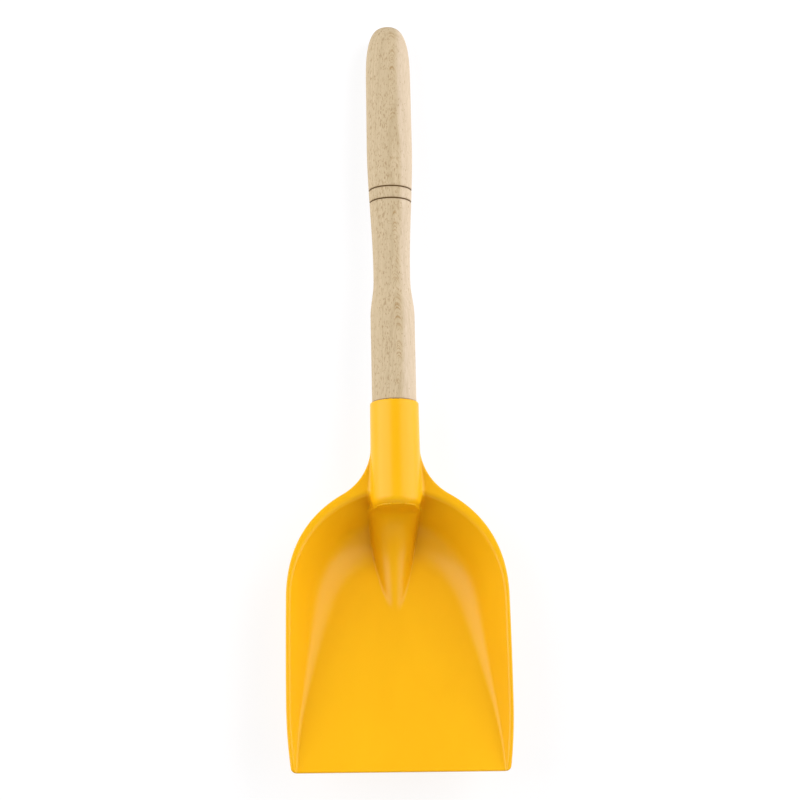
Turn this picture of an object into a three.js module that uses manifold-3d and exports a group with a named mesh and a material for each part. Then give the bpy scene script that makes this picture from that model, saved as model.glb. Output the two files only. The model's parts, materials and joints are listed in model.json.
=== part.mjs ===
// A short scoop shovel: a one-piece moulded scoop with a round socket, a turned beech handle whose
// tapered shank sits in the socket, and the wood screw that holds the two together.
//
// Millimetres. The pieces are drawn in the shovel's own frame: x across the blade, y from the blade's
// front edge (y = 0) along the handle's axis to the grip, z up on the open side, z = 0 on that axis.
// At the end the group is tipped so that the scoop's heel and the grip both rest on z = 0.

import * as THREE from "three";
import { mergeVertices } from "three/addons/utils/BufferGeometryUtils.js";
import Module from "manifold-3d";

const wasm = await Module();
wasm.setup();

// ---- Driving dimensions ---------------------------------------------------------------------------

// Scoop: plan.
const BLADE_WIDTH = 150; // widest, a little behind the front corners
const FRONT_TAPER = 3; // by which each side draws in to its front corner
const SHOULDER_TAPER = 0.7; // by which each side draws in to where the round back begins
const WIDEST_Y = 45; // how far behind the front edge the blade is widest
const SHOULDER_Y = 114; // where the round back begins, and the middle of its arch
const MOUTH_DEPTH = 74; // from there to the back edge of the hollow
const CORNER_RADIUS = 3; // the two front corners
const RIM_WIDTH = 2.6; // top of the side walls
const NECK_RADIUS = 38.8; // concave sweep from each shoulder into the socket
const NECK_SWEEP = THREE.MathUtils.degToRad(60); // how far that sweep turns from the socket's side
const NECK_RUN = 2.6; // how far the sweep's steep end stays clear of the hollow's back edge

// Scoop: hollow.
const WALL = 2.6; // moulded wall, everywhere
const FLOOR_ANGLE = THREE.MathUtils.degToRad(14.5); // floor against the handle's axis
const FRONT_DROP = 1; // the floor's depth below the rim at the front edge
const FLARE_SIDE = 34; // degrees by which the side walls lean outwards
const FLARE_BACK = 27; // degrees by which the back wall leans back
const FRONT_FILLET = 2; // wall to floor, at the front corners
const SHOULDER_FILLET = 24; // wall to floor, where the round back begins
const BACK_FILLET = 28; // wall to floor, at the back
const RIM_ROUND = 1.2; // rim to side wall
const WEB_ROUND = 5; // web to back wall
const EDGE_ROUND = 0.6; // corners of the free edge

// Socket, in one piece with the scoop.
const SOCKET_LENGTH = 71.4;
const SOCKET_OVERHANG = 12; // how far its closed end stands out into the hollow
const SOCKET_LIP = 1.1; // wall at the mouth; it thickens inwards as the bore tapers
const SOCKET_DRAFT = 0.45; // by which the outside grows from the mouth to the closed end
const SOCKET_END_ROUND = 6;
const SOCKET_LIP_ROUND = 1;
const SOCKET_END_WALL = 3.4;
const BORE_TAPER = 2.65; // by which the bore's radius shrinks from the mouth to its closed end
const FIT = 0.3; // gap between the handle and the socket

// Tongue: the hollow rib that runs from the socket's closed end down on to the floor.
const TONGUE_LENGTH = 64; // from the socket's closed end to its point
const TONGUE_RISE_RUN = 40; // the last stretch, over which its level ridge sweeps up to the socket
const TONGUE_RISE = 36; // how far the ridge rises there
const TONGUE_TIP_R = 8; // crown radius at the point
const TONGUE_CONE = 62; // length over which the crown grows to the socket's radius
const TONGUE_DRAFT = THREE.MathUtils.degToRad(15); // lean of its two sides

// Handle.
const HANDLE_LENGTH = 331.7; // overall, shank included
const HANDLE_R = 14.95; // plain stretch next to the socket
const PLAIN_LENGTH = 60; // from the socket's mouth
const WAIST_R = 12.5;
const WAIST_DROP = 25; // length over which the plain stretch narrows to the waist
const WAIST_LENGTH = 6;
const GRIP_R = 15.5;
const GRIP_SWELL = 87; // length over which the waist grows to the grip
const GRIP_END_R = 15.3; // where the domed end begins
const DOME_LENGTH = 43.6;
const DOME_POWER = 3; // 2 would be an ellipse; 3 is blunter
const SHANK_END_GAP = 1.5; // between the shank's end and the bottom of the bore
const SHANK_CHAMFER = 1.2;
const GROOVE_FROM_END = [117, 125.3]; // the two turned grooves, from the domed end
const GROOVE_WIDTH = 1.2;
const GROOVE_DEPTH = 0.8;

// Retaining screw, through the underside of the socket into the shank.
const SCREW_FROM_MOUTH = 24;
const SCREW_R = 1.75;
const SCREW_LENGTH = 16; // under the head
const SCREW_HEAD_R = 3.6;
const SCREW_HEAD_HEIGHT = 2.2;
const SCREW_SLOT = 1.1;
const SCREW_SLOT_DEPTH = 1.1;
const SCREW_PAD_RIM = 1.6; // how far the flat pad under the head reaches past it
const SCREW_PAD_HEIGHT = 1.2;

// ---- Sizes that follow ----------------------------------------------------------------------------

const RIM_Z = WALL / 2; // top of the rim and of the web; the web is centred on the handle's axis
const FRONT_HALF = BLADE_WIDTH / 2 - FRONT_TAPER;
const SHOULDER_HALF = BLADE_WIDTH / 2 - SHOULDER_TAPER;
const MOUTH_HALF = SHOULDER_HALF - RIM_WIDTH;
const MOUTH_BACK_Y = SHOULDER_Y + MOUTH_DEPTH;
const SOCKET_END_Y = MOUTH_BACK_Y - SOCKET_OVERHANG;
const SOCKET_MOUTH_Y = SOCKET_END_Y + SOCKET_LENGTH;
const BORE_END_Y = SOCKET_END_Y + SOCKET_END_WALL;
const BORE_MOUTH_R = HANDLE_R + FIT;
const BORE_END_R = BORE_MOUTH_R - BORE_TAPER;
const SOCKET_MOUTH_R = BORE_MOUTH_R + SOCKET_LIP;
const SOCKET_END_R = SOCKET_MOUTH_R + SOCKET_DRAFT;
const HANDLE_START_Y = BORE_END_Y + SHANK_END_GAP;
const HANDLE_END_Y = HANDLE_START_Y + HANDLE_LENGTH;
const SCREW_Y = SOCKET_MOUTH_Y - SCREW_FROM_MOUTH;
const SCREW_PAD_R = SCREW_HEAD_R + SCREW_PAD_RIM;
const SCREW_PAD_Z = -(SOCKET_END_R + SCREW_PAD_HEIGHT); // underside of the pad
const SCREW_HEAD_Z = SCREW_PAD_Z - FIT; // underside of the head, where it seats

// ---- Helpers --------------------------------------------------------------------------------------

const lerp = THREE.MathUtils.lerp;
const ease = (value) => THREE.MathUtils.smoothstep(value, 0, 1);

// A closed three.js geometry as a solid that can be joined and cut.
function solid(geometry) {
  const bare = new THREE.BufferGeometry();
  bare.setAttribute("position", geometry.getAttribute("position"));
  if (geometry.index) bare.setIndex(geometry.index);
  const merged = mergeVertices(bare, 1e-4);
  const made = new wasm.Manifold(
    new wasm.Mesh({
      numProp: 3,
      vertProperties: new Float32Array(merged.attributes.position.array),
      triVerts: new Uint32Array(merged.index.array),
    }),
  );
  if (made.volume() <= 0) throw new Error("a profile is inside out");
  return made;
}

function geometryOf(made) {
  const data = made.getMesh();
  const geometry = new THREE.BufferGeometry();
  geometry.setAttribute("position", new THREE.BufferAttribute(data.vertProperties, 3));
  geometry.setIndex(new THREE.BufferAttribute(data.triVerts, 1));
  geometry.computeVertexNormals();
  return geometry;
}

// Turns a profile of [radius, y] points, listed from low y to high y, about the y axis.
function turned(profile, segments) {
  const points = profile.map(([radius, y]) => new THREE.Vector2(radius, y));
  return new THREE.LatheGeometry(points, segments);
}

// Points of a quarter-round from [r - round, y] to [r, y + round * side] or back.
function quarterRound(r, y, round, side, steps) {
  const points = [];
  for (let i = 0; i <= steps; i++) {
    const angle = (Math.PI / 2) * (i / steps);
    points.push([r - round + round * Math.sin(angle), y + side * round * (1 - Math.cos(angle))]);
  }
  return points;
}

// ---- Scoop shell ----------------------------------------------------------------------------------

// Right half of the blade's outline, from the front corner to the middle of the web.
function outline() {
  const widest = BLADE_WIDTH / 2;
  const neckX = SOCKET_MOUTH_R + NECK_RADIUS * (1 - Math.cos(NECK_SWEEP));
  const neckY = MOUTH_BACK_Y - NECK_RUN;
  const neckTop = neckY + NECK_RADIUS * Math.sin(NECK_SWEEP);
  const reach = (neckY - SHOULDER_Y) * 0.56; // of the curve's tangent at the shoulder
  const neckReach = reach * 0.55; // and where it meets the neck's sweep
  const corner = [];
  for (let i = 0; i < 4; i++) {
    const angle = (Math.PI / 2) * (i / 4);
    corner.push([
      FRONT_HALF - CORNER_RADIUS * (1 - Math.sin(angle)),
      CORNER_RADIUS * (1 - Math.cos(angle)),
    ]);
  }
  const stretches = [
    new THREE.QuadraticBezierCurve(
      new THREE.Vector2(FRONT_HALF, CORNER_RADIUS),
      new THREE.Vector2(widest, WIDEST_Y / 2),
      new THREE.Vector2(widest, WIDEST_Y),
    ).getPoints(6),
    new THREE.QuadraticBezierCurve(
      new THREE.Vector2(widest, WIDEST_Y),
      new THREE.Vector2(widest, (WIDEST_Y + SHOULDER_Y) / 2),
      new THREE.Vector2(SHOULDER_HALF, SHOULDER_Y),
    ).getPoints(6),
    new THREE.CubicBezierCurve(
      new THREE.Vector2(SHOULDER_HALF, SHOULDER_Y),
      new THREE.Vector2(SHOULDER_HALF, SHOULDER_Y + reach),
      new THREE.Vector2(
        neckX + neckReach * Math.sin(NECK_SWEEP),
        neckY - neckReach * Math.cos(NECK_SWEEP),
      ),
      new THREE.Vector2(neckX, neckY),
    ).getPoints(12),
  ];
  const sweep = [];
  for (let i = 1; i <= 6; i++) {
    const angle = NECK_SWEEP * (1 - i / 6);
    sweep.push([
      SOCKET_MOUTH_R + NECK_RADIUS * (1 - Math.cos(angle)),
      neckTop - NECK_RADIUS * Math.sin(angle),
    ]);
  }
  const sides = stretches.flatMap((points, at) => points.slice(at ? 1 : 0).map((p) => [p.x, p.y]));
  return [...corner, ...sides, ...sweep, [SOCKET_MOUTH_R / 2, neckTop], [0, neckTop]];
}

const floorZ = (y) => RIM_Z - FRONT_DROP - y * Math.tan(FLOOR_ANGLE);

// The line across the hollow from an outline point: where it starts, which way it runs, where it
// ends, where it crosses the hollow's edge, and what the wall and the floor are like there.
function crossing([x, y]) {
  if (y <= SHOULDER_Y) {
    return {
      start: [x, y],
      end: [0, y],
      run: x,
      edge: RIM_WIDTH,
      flare: FLARE_SIDE,
      fillet: lerp(FRONT_FILLET, SHOULDER_FILLET, (y / SHOULDER_Y) ** 2),
      round: RIM_ROUND,
      floorAtEdge: floorZ(y),
      floorRise: 0,
    };
  }
  const run = Math.hypot(x, y - SHOULDER_Y);
  const across = x / run;
  const along = (y - SHOULDER_Y) / run;
  const mouth = 1 / Math.hypot(across / MOUTH_HALF, along / MOUTH_DEPTH);
  return {
    start: [x, y],
    end: [0, SHOULDER_Y],
    run,
    edge: run - mouth,
    flare: lerp(FLARE_BACK, FLARE_SIDE, across ** 2),
    fillet: lerp(BACK_FILLET, SHOULDER_FILLET, across ** 2),
    round: lerp(WEB_ROUND, RIM_ROUND, across ** 2),
    floorAtEdge: floorZ(SHOULDER_Y + mouth * along),
    floorRise: along * Math.tan(FLOOR_ANGLE),
  };
}

// Distances along a crossing and heights there, for the hollow's surface (depth 0) or for the outer
// surface, one wall thickness behind it: flat rim, round, straight wall, fillet, floor.
function section(line, depth) {
  const lean = THREE.MathUtils.degToRad(90 - line.flare);
  const slope = Math.tan(lean);
  const rimZ = RIM_Z - depth;
  const wallZ = RIM_Z - depth / Math.cos(lean);
  const floorAtEdge = line.floorAtEdge - depth / Math.cos(FLOOR_ANGLE);
  const rise = Math.atan(line.floorRise);

  // Where the wall's straight line meets the rim and the floor, measured from the hollow's edge.
  // The two rounds are held to a share of the space they have.
  const top = (wallZ - rimZ) / slope;
  const foot = (wallZ - floorAtEdge) / (slope + line.floorRise);
  const wallLength = (foot - top) / Math.cos(lean);

  const rimSpace = line.edge + top - EDGE_ROUND;
  const roundTangent = Math.min(
    Math.max(line.round - depth, RIM_ROUND / 3) * Math.tan(lean / 2),
    0.8 * rimSpace,
    0.2 * wallLength,
  );
  const round = roundTangent / Math.tan(lean / 2);
  const filletTangent = Math.min(
    (line.fillet + depth) * Math.tan((lean + rise) / 2),
    0.75 * wallLength,
  );
  const fillet = filletTangent / Math.tan((lean + rise) / 2);

  const points = [[EDGE_ROUND - line.edge, rimZ]];
  const roundSteps = 2;
  for (let i = 0; i <= roundSteps; i++) {
    const angle = lean * (i / roundSteps);
    points.push([
      top - roundTangent + round * Math.sin(angle),
      rimZ - round * (1 - Math.cos(angle)),
    ]);
  }
  const filletSteps = 6;
  const startAt = foot - filletTangent * Math.cos(lean);
  const startZ = wallZ - slope * startAt;
  for (let i = 0; i <= filletSteps; i++) {
    const angle = lerp(lean, -rise, i / filletSteps);
    points.push([
      startAt + fillet * (Math.sin(lean) - Math.sin(angle)),
      startZ - fillet * (Math.cos(angle) - Math.cos(lean)),
    ]);
  }
  const floorSteps = 2;
  const [lastAt] = points.at(-1);
  const endAt = line.run - line.edge;
  for (let i = 1; i <= floorSteps; i++) {
    const at = lerp(lastAt, endAt, i / floorSteps);
    points.push([at, floorAtEdge + at * line.floorRise]);
  }
  return points.map(([at, z]) => {
    const share = (at + line.edge) / line.run;
    return [
      lerp(line.start[0], line.end[0], share),
      lerp(line.start[1], line.end[1], share),
      z,
    ];
  });
}

// A closed body between two sheets of points, each given as rows of equal length for the right half
// (row 0 at the front edge, each row from the rim to the middle), with one row of edge points
// between them.
function closedBody(upper, lower, edge) {
  const positions = [];
  const same = (a, b) => a.every((value, axis) => Math.abs(value - b[axis]) < 1e-6);
  const triangle = (a, b, c) => {
    if (!same(a, b) && !same(b, c) && !same(c, a)) positions.push(...a, ...b, ...c);
  };
  const quad = (a, b, c, d) => {
    triangle(a, b, c);
    triangle(a, c, d);
  };
  const half = (side) => {
    const at = ([x, y, z]) => [side * x, y, z];
    const face = side > 0 ? quad : (a, b, c, d) => quad(d, c, b, a);
    for (let i = 0; i + 1 < upper.length; i++) {
      for (let j = 0; j + 1 < upper[i].length; j++) {
        face(at(upper[i][j]), at(upper[i + 1][j]), at(upper[i + 1][j + 1]), at(upper[i][j + 1]));
        face(at(lower[i][j + 1]), at(lower[i + 1][j + 1]), at(lower[i + 1][j]), at(lower[i][j]));
      }
      face(at(edge[i]), at(edge[i + 1]), at(upper[i + 1][0]), at(upper[i][0]));
      face(at(lower[i][0]), at(lower[i + 1][0]), at(edge[i + 1]), at(edge[i]));
    }
    for (let j = 0; j + 1 < upper[0].length; j++) {
      face(at(upper[0][j]), at(upper[0][j + 1]), at(lower[0][j + 1]), at(lower[0][j]));
    }
    face(at(lower[0][0]), at(edge[0]), at(upper[0][0]), at(upper[0][0]));
  };
  half(1);
  half(-1);
  const geometry = new THREE.BufferGeometry();
  geometry.setAttribute("position", new THREE.Float32BufferAttribute(positions, 3));
  return geometry;
}

const lines = outline().map(crossing);
const edgeRow = (z) => lines.map((line) => [...line.start, z]);

// The moulded blade, without its tongue and socket.
function shell() {
  const upper = lines.map((line) => section(line, 0));
  const lower = lines.map((line) => section(line, WALL));
  return solid(closedBody(upper, lower, edgeRow(RIM_Z - WALL / 2)));
}

// Everything above the middle of the blade's wall, which trims what stands on it.
function spaceAboveShell() {
  const ceiling = SOCKET_END_R * 2;
  const lower = lines.map((line) => section(line, WALL / 2));
  const upper = lower.map((row) => row.map(([x, y]) => [x, y, ceiling]));
  return solid(closedBody(upper, lower, edgeRow(ceiling / 2)));
}

// ---- Tongue ---------------------------------------------------------------------------------------

const TONGUE_TIP_Y = SOCKET_END_Y - TONGUE_LENGTH;

// Height of the tongue's ridge: level, then a sweep that would turn upright just past the socket's
// closed end.
function ridgeZ(y) {
  const into = Math.max(0, y - (SOCKET_END_Y - TONGUE_RISE_RUN)) / (TONGUE_RISE_RUN * 1.02);
  return floorZ(TONGUE_TIP_Y) + TONGUE_RISE * (1 - Math.sqrt(1 - Math.min(into, 1) ** 2));
}

// Radius of the tongue's crown. The level crown meets the sloping floor in a blunt point.
function crownR(y) {
  const grown = THREE.MathUtils.clamp((y - TONGUE_TIP_Y) / TONGUE_CONE, 0, 1);
  return lerp(TONGUE_TIP_R, SOCKET_END_R, grown);
}

// The tongue's outer form, or with a depth its hollow: arched sections with leaning sides.
function tongueForm(fromY, toY, depth) {
  const steps = 16;
  const arcSteps = 10;
  const bottom = floorZ(SOCKET_END_Y) - 3 * WALL;
  const rings = [];
  for (let k = 0; k <= steps; k++) {
    const y = lerp(fromY, toY, k / steps);
    const radius = crownR(y) - depth;
    const centreZ = ridgeZ(y) - crownR(y);
    const lift = centreZ + radius * Math.sin(TONGUE_DRAFT) - bottom;
    const half = radius * Math.cos(TONGUE_DRAFT) + lift * Math.tan(TONGUE_DRAFT);
    const ring = [[half, y, bottom]];
    for (let i = 0; i <= arcSteps; i++) {
      const angle = lerp(TONGUE_DRAFT, Math.PI - TONGUE_DRAFT, i / arcSteps);
      ring.push([radius * Math.cos(angle), y, centreZ + radius * Math.sin(angle)]);
    }
    ring.push([-half, y, bottom]);
    rings.push(ring);
  }
  return solid(loft(rings));
}

// A closed body through rings of points, all of one length, with flat ends.
function loft(rings) {
  const positions = [];
  const triangle = (a, b, c) => positions.push(...a, ...b, ...c);
  for (let k = 0; k + 1 < rings.length; k++) {
    rings[k].forEach((point, i) => {
      const next = (i + 1) % rings[k].length;
      triangle(point, rings[k + 1][i], rings[k + 1][next]);
      triangle(point, rings[k + 1][next], rings[k][next]);
    });
  }
  const first = rings[0];
  const last = rings.at(-1);
  for (let i = 1; i + 1 < first.length; i++) {
    triangle(first[0], first[i], first[i + 1]);
    triangle(last[0], last[i + 1], last[i]);
  }
  const geometry = new THREE.BufferGeometry();
  geometry.setAttribute("position", new THREE.Float32BufferAttribute(positions, 3));
  return geometry;
}

// ---- Socket, bore and screw seat ------------------------------------------------------------------

const boreR = (y) =>
  lerp(BORE_END_R, BORE_MOUTH_R, (y - BORE_END_Y) / (SOCKET_MOUTH_Y - BORE_END_Y));

function socketForm() {
  return solid(turned([
    [0, SOCKET_END_Y],
    ...quarterRound(SOCKET_END_R, SOCKET_END_Y, SOCKET_END_ROUND, 1, 5),
    ...quarterRound(SOCKET_MOUTH_R, SOCKET_MOUTH_Y, SOCKET_LIP_ROUND, -1, 3).reverse(),
    [0, SOCKET_MOUTH_Y],
  ], 40));
}

function boreForm() {
  const clear = 5; // past the mouth, so that the cut leaves it open
  return solid(turned([
    [0, BORE_END_Y],
    [BORE_END_R, BORE_END_Y],
    [BORE_MOUTH_R, SOCKET_MOUTH_Y],
    [BORE_MOUTH_R, SOCKET_MOUTH_Y + clear],
    [0, SOCKET_MOUTH_Y + clear],
  ], 40));
}

// A round bar along z at the screw's place, from one height to another.
function screwBar(radius, fromZ, toZ) {
  const bar = new THREE.CylinderGeometry(radius, radius, toZ - fromZ, 24);
  bar.rotateX(Math.PI / 2);
  bar.translate(0, SCREW_Y, (fromZ + toZ) / 2);
  return solid(bar);
}

// ---- The pieces -----------------------------------------------------------------------------------

function scoop() {
  const tongue = tongueForm(TONGUE_TIP_Y - WALL, SOCKET_END_Y + SOCKET_END_ROUND, 0);
  const hollow = tongueForm(TONGUE_TIP_Y, SOCKET_END_Y - WALL / 4, WALL);
  const pad = screwBar(SCREW_PAD_R, SCREW_PAD_Z, -boreR(SCREW_Y));
  return shell()
    .add(tongue.intersect(spaceAboveShell()))
    .subtract(hollow)
    .add(socketForm())
    .add(pad)
    .subtract(boreForm())
    .subtract(screwBar(SCREW_R + FIT, SCREW_PAD_Z - WALL, 0));
}

// Radius of the handle where it shows, by distance from the socket's mouth.
function handleR(from) {
  const dropEnd = PLAIN_LENGTH + WAIST_DROP;
  const swellStart = dropEnd + WAIST_LENGTH;
  const swellEnd = swellStart + GRIP_SWELL;
  const domeStart = HANDLE_END_Y - DOME_LENGTH - SOCKET_MOUTH_Y;
  if (from <= dropEnd) return lerp(HANDLE_R, WAIST_R, ease((from - PLAIN_LENGTH) / WAIST_DROP));
  if (from <= swellEnd) return lerp(WAIST_R, GRIP_R, ease((from - swellStart) / GRIP_SWELL));
  if (from <= domeStart) return lerp(GRIP_R, GRIP_END_R, (from - swellEnd) / (domeStart - swellEnd));
  const along = Math.min((from - domeStart) / DOME_LENGTH, 1);
  return GRIP_END_R * (1 - along ** DOME_POWER) ** (1 / DOME_POWER);
}

function handle() {
  const visible = HANDLE_END_Y - SOCKET_MOUTH_Y;
  const domeStart = visible - DOME_LENGTH;
  const swellStart = PLAIN_LENGTH + WAIST_DROP + WAIST_LENGTH;
  const stretch = (from, to, steps) =>
    Array.from({ length: steps }, (_, i) => lerp(from, to, (i + 1) / steps));
  const grooves = GROOVE_FROM_END.map((fromEnd) => visible - fromEnd);
  const plain = [
    ...stretch(0, PLAIN_LENGTH, 1),
    ...stretch(PLAIN_LENGTH, PLAIN_LENGTH + WAIST_DROP, 8),
    ...stretch(PLAIN_LENGTH + WAIST_DROP, swellStart, 1),
    ...stretch(swellStart, swellStart + GRIP_SWELL, 10),
    domeStart,
  ].filter((at) => grooves.every((groove) => Math.abs(at - groove) > GROOVE_WIDTH));
  const dome = Array.from({ length: 12 }, (_, i) =>
    domeStart + DOME_LENGTH * Math.sin((Math.PI / 2) * ((i + 1) / 12)));
  const cuts = grooves.flatMap((groove) => [
    [groove - GROOVE_WIDTH / 2, 0],
    [groove, GROOVE_DEPTH],
    [groove + GROOVE_WIDTH / 2, 0],
  ]);
  const shown = [...plain.map((at) => [at, 0]), ...cuts, ...dome.map((at) => [at, 0])]
    .sort((a, b) => a[0] - b[0])
    .map(([at, depth]) => [handleR(at) - depth, SOCKET_MOUTH_Y + at]);
  const body = solid(turned([
    [0, HANDLE_START_Y],
    [boreR(HANDLE_START_Y) - FIT - SHANK_CHAMFER, HANDLE_START_Y],
    [boreR(HANDLE_START_Y + SHANK_CHAMFER) - FIT, HANDLE_START_Y + SHANK_CHAMFER],
    [HANDLE_R, SOCKET_MOUTH_Y],
    ...shown,
  ], 40));
  const pilotTop = SCREW_HEAD_Z + SCREW_LENGTH + FIT;
  return body.subtract(screwBar(SCREW_R + FIT, -SOCKET_END_R, pilotTop));
}

// A pan-head wood screw, its head below the pad and its point up in the shank.
function retainingScrew() {
  const rounding = 0.8;
  const point = 4;
  const profile = [
    [0, -SCREW_HEAD_HEIGHT],
    ...quarterRound(SCREW_HEAD_R, -SCREW_HEAD_HEIGHT, rounding, 1, 3),
    [SCREW_HEAD_R, 0],
    [SCREW_R, 0],
    [SCREW_R, SCREW_LENGTH - point],
    [0, SCREW_LENGTH],
  ];
  const geometry = turned(profile, 24);
  geometry.rotateX(Math.PI / 2);
  geometry.translate(0, SCREW_Y, SCREW_HEAD_Z);
  const across = SCREW_HEAD_R * 1.2;
  const slot = (x, y) => {
    const box = new THREE.BoxGeometry(x, y, SCREW_SLOT_DEPTH * 2);
    box.translate(0, SCREW_Y, SCREW_HEAD_Z - SCREW_HEAD_HEIGHT);
    return solid(box);
  };
  return solid(geometry).subtract(slot(across, SCREW_SLOT)).subtract(slot(SCREW_SLOT, across));
}

// ---- Assembly -------------------------------------------------------------------------------------

const plastic = new THREE.MeshStandardMaterial({ color: 0xffbf1c, roughness: 0.35, metalness: 0 });
const beech = new THREE.MeshStandardMaterial({ color: 0xd8c29c, roughness: 0.7, metalness: 0 });
const steel = new THREE.MeshStandardMaterial({ color: 0xb8b8ba, roughness: 0.35, metalness: 1 });

function piece(name, made, material) {
  const mesh = new THREE.Mesh(geometryOf(made), material);
  mesh.name = name;
  return mesh;
}

// Lowest height of a piece once the shovel is tipped, the grip end going down.
function lowest(mesh, tilt) {
  const position = mesh.geometry.getAttribute("position");
  let low = Infinity;
  for (let i = 0; i < position.count; i++) {
    low = Math.min(low, position.getZ(i) * Math.cos(tilt) - position.getY(i) * Math.sin(tilt));
  }
  return low;
}

// The tilt at which the scoop's heel and the grip touch the ground together.
function restingTilt(scoopMesh, handleMesh) {
  let [less, more] = [0, Math.PI / 6];
  for (let i = 0; i < 40; i++) {
    const tilt = (less + more) / 2;
    if (lowest(scoopMesh, tilt) < lowest(handleMesh, tilt)) less = tilt;
    else more = tilt;
  }
  return less;
}

const scoopMesh = piece("scoop", scoop(), plastic);
const handleMesh = piece("handle", handle(), beech);
const screwMesh = piece("retaining_screw", retainingScrew(), steel);

const group = new THREE.Group();
group.add(scoopMesh, handleMesh, screwMesh);
group.rotation.x = -restingTilt(scoopMesh, handleMesh);
group.updateMatrixWorld(true);

// The origin is under the middle of the shovel, on the ground.
const box = new THREE.Box3().setFromObject(group, true);
const middle = box.getCenter(new THREE.Vector3());
group.position.set(-middle.x, -middle.y, -box.min.z);

export default group;
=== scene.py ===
"""Looks of the short scoop shovel: moulded yellow scoop, turned beech handle, plated wood screw."""

import json
import math

import bpy
import numpy as np
from mathutils import Matrix, Vector


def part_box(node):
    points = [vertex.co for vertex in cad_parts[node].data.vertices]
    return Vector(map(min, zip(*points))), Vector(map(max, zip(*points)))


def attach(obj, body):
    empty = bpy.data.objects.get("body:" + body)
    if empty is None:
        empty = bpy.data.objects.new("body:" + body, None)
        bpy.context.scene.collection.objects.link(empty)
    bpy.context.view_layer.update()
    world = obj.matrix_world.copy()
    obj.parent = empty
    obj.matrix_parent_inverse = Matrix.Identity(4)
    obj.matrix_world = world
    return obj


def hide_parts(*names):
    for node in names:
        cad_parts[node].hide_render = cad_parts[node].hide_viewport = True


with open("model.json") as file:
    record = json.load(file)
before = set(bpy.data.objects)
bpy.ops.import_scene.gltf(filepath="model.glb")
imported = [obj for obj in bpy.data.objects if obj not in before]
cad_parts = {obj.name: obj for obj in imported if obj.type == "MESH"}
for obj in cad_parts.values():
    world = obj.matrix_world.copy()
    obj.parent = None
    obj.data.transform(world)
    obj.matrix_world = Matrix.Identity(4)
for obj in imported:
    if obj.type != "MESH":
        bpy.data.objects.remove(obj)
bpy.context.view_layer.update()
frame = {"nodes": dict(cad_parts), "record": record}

# ---- Sizes of the shapes, in millimetres, in the shovel's own frame ------------------------------
# x across the blade, y from the blade's front edge along the handle's axis, z up on the open side,
# z = 0 on that axis. Names and values are those of the CAD model's dimensions, apart from
# RIM_ROUND, EDGE_ROUND and SOCKET_LIP_ROUND, which are set here by how the real edges look.

BLADE_WIDTH = 150
FRONT_TAPER = 3
SHOULDER_TAPER = 0.7
WIDEST_Y = 45
SHOULDER_Y = 114
MOUTH_DEPTH = 74
CORNER_RADIUS = 3
RIM_WIDTH = 2.6
NECK_RADIUS = 38.8
NECK_SWEEP = math.radians(60)
NECK_RUN = 2.6

WALL = 2.6
FLOOR_ANGLE = math.radians(14.5)
FRONT_DROP = 1
FLARE_SIDE = 34
FLARE_BACK = 27
FRONT_FILLET = 2
SHOULDER_FILLET = 24
BACK_FILLET = 28
RIM_ROUND = 2.4
WEB_ROUND = 5
EDGE_ROUND = 0.9

SOCKET_LENGTH = 71.4
SOCKET_OVERHANG = 12
SOCKET_LIP = 1.1
SOCKET_DRAFT = 0.45
SOCKET_END_ROUND = 6
SOCKET_LIP_ROUND = 0.7
SOCKET_END_WALL = 3.4
BORE_TAPER = 2.65
FIT = 0.3

TONGUE_LENGTH = 64
TONGUE_RISE_RUN = 40
TONGUE_RISE = 36
TONGUE_TIP_R = 8
TONGUE_CONE = 62
TONGUE_DRAFT = math.radians(15)

HANDLE_LENGTH = 331.7
HANDLE_R = 14.95
PLAIN_LENGTH = 60
WAIST_R = 12.5
WAIST_DROP = 25
WAIST_LENGTH = 6
GRIP_R = 15.5
GRIP_SWELL = 87
GRIP_END_R = 15.3
DOME_LENGTH = 43.6
DOME_POWER = 3
SHANK_END_GAP = 1.5
SHANK_CHAMFER = 1.2
GROOVE_FROM_END = (117, 125.3)
GROOVE_WIDTH = 1.2
GROOVE_DEPTH = 0.8

SCREW_FROM_MOUTH = 24
SCREW_R = 1.75
SCREW_HEAD_R = 3.6
SCREW_PAD_RIM = 1.6
SCREW_PAD_HEIGHT = 1.2

RIM_Z = WALL / 2
FRONT_HALF = BLADE_WIDTH / 2 - FRONT_TAPER
SHOULDER_HALF = BLADE_WIDTH / 2 - SHOULDER_TAPER
MOUTH_HALF = SHOULDER_HALF - RIM_WIDTH
MOUTH_BACK_Y = SHOULDER_Y + MOUTH_DEPTH
SOCKET_END_Y = MOUTH_BACK_Y - SOCKET_OVERHANG
SOCKET_MOUTH_Y = SOCKET_END_Y + SOCKET_LENGTH
BORE_END_Y = SOCKET_END_Y + SOCKET_END_WALL
BORE_MOUTH_R = HANDLE_R + FIT
BORE_END_R = BORE_MOUTH_R - BORE_TAPER
SOCKET_MOUTH_R = BORE_MOUTH_R + SOCKET_LIP
SOCKET_END_R = SOCKET_MOUTH_R + SOCKET_DRAFT
TONGUE_TIP_Y = SOCKET_END_Y - TONGUE_LENGTH
HANDLE_START_Y = BORE_END_Y + SHANK_END_GAP
HANDLE_END_Y = HANDLE_START_Y + HANDLE_LENGTH
SCREW_Y = SOCKET_MOUTH_Y - SCREW_FROM_MOUTH
SCREW_PAD_R = SCREW_HEAD_R + SCREW_PAD_RIM
SCREW_PAD_Z = -(SOCKET_END_R + SCREW_PAD_HEIGHT)

# ---- Where the shovel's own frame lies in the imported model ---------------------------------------

MM = 0.001


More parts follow.
